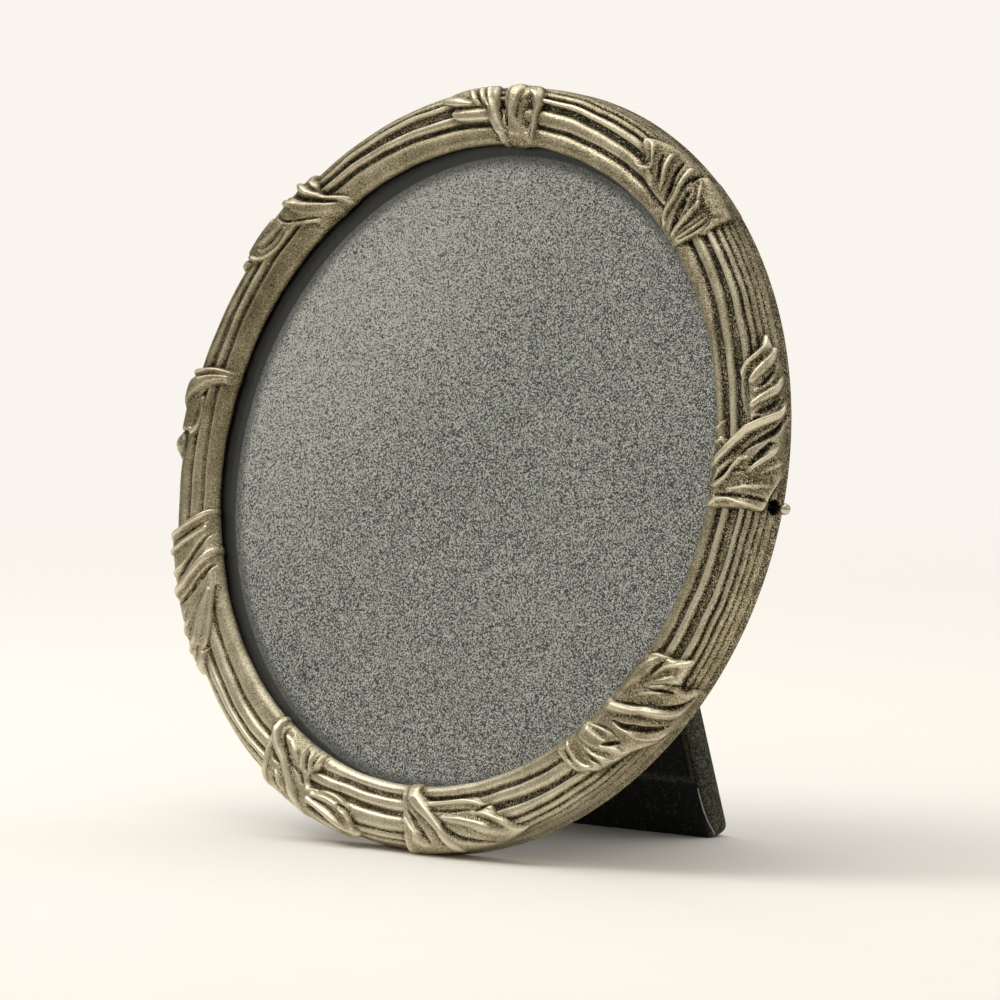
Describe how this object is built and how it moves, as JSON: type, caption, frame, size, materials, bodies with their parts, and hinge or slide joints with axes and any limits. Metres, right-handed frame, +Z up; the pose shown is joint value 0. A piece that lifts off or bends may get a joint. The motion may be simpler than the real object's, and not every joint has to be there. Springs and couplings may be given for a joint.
{
  "type": "round standing picture frame",
  "caption": "Round standing picture frame: reeded cast-metal ring wrapped in acanthus leaves, glass over an insert, velvet back held by a pull pin, folding velvet leg on a stop hinge.",
  "frame": {"origin": "on the table, in the middle of the small flat under the ring", "axes": "+X to the viewer's right, +Y from the front to the back, +Z up"},
  "size_m": [0.1459, 0.0611, 0.1404],
  "materials": {
    "cast_pewter": "antiqued pewter, dark in the hollows and rubbed bright on the ridges",
    "clear_glass": "polished",
    "speckled_insert": "matt print with a fine grey speckle",
    "grey_card": "raw",
    "dark_velvet": "short pile",
    "hinge_metal": "satin plated",
    "pin_metal": "polished"
  },
  "bodies": {
    "frame": {"frame_ring": "cast_pewter", "glass_pane": "clear_glass", "insert_card": "speckled_insert", "filler_card": "grey_card", "back_board": "grey_card", "back_velvet": "dark_velvet", "retaining_peg": "pin_metal", "hinge_fixed_leaf": "hinge_metal", "hinge_pin": "hinge_metal", "back_rivet_left": "hinge_metal", "back_rivet_right": "hinge_metal"},
    "leg": {"leg_velvet": "dark_velvet", "leg_board": "grey_card", "leg_lining": "dark_velvet", "hinge_moving_leaf": "hinge_metal", "leg_rivet_left": "hinge_metal", "leg_rivet_right": "hinge_metal"},
    "pull_pin": {"locking_pin": "pin_metal"}
  },
  "joints": [
    {"name": "leg_hinge", "type": "hinge", "parent": "frame", "child": "leg", "pos_m": [0, 0.02383, 0.09175], "axis": [1, 0, 0], "range_deg": [-28, 0]},
    {"name": "pin_slide", "type": "slide", "parent": "frame", "child": "pull_pin", "axis": [0.9986, -0.0118, -0.051], "range_m": [0, 0.006]}
  ]
}
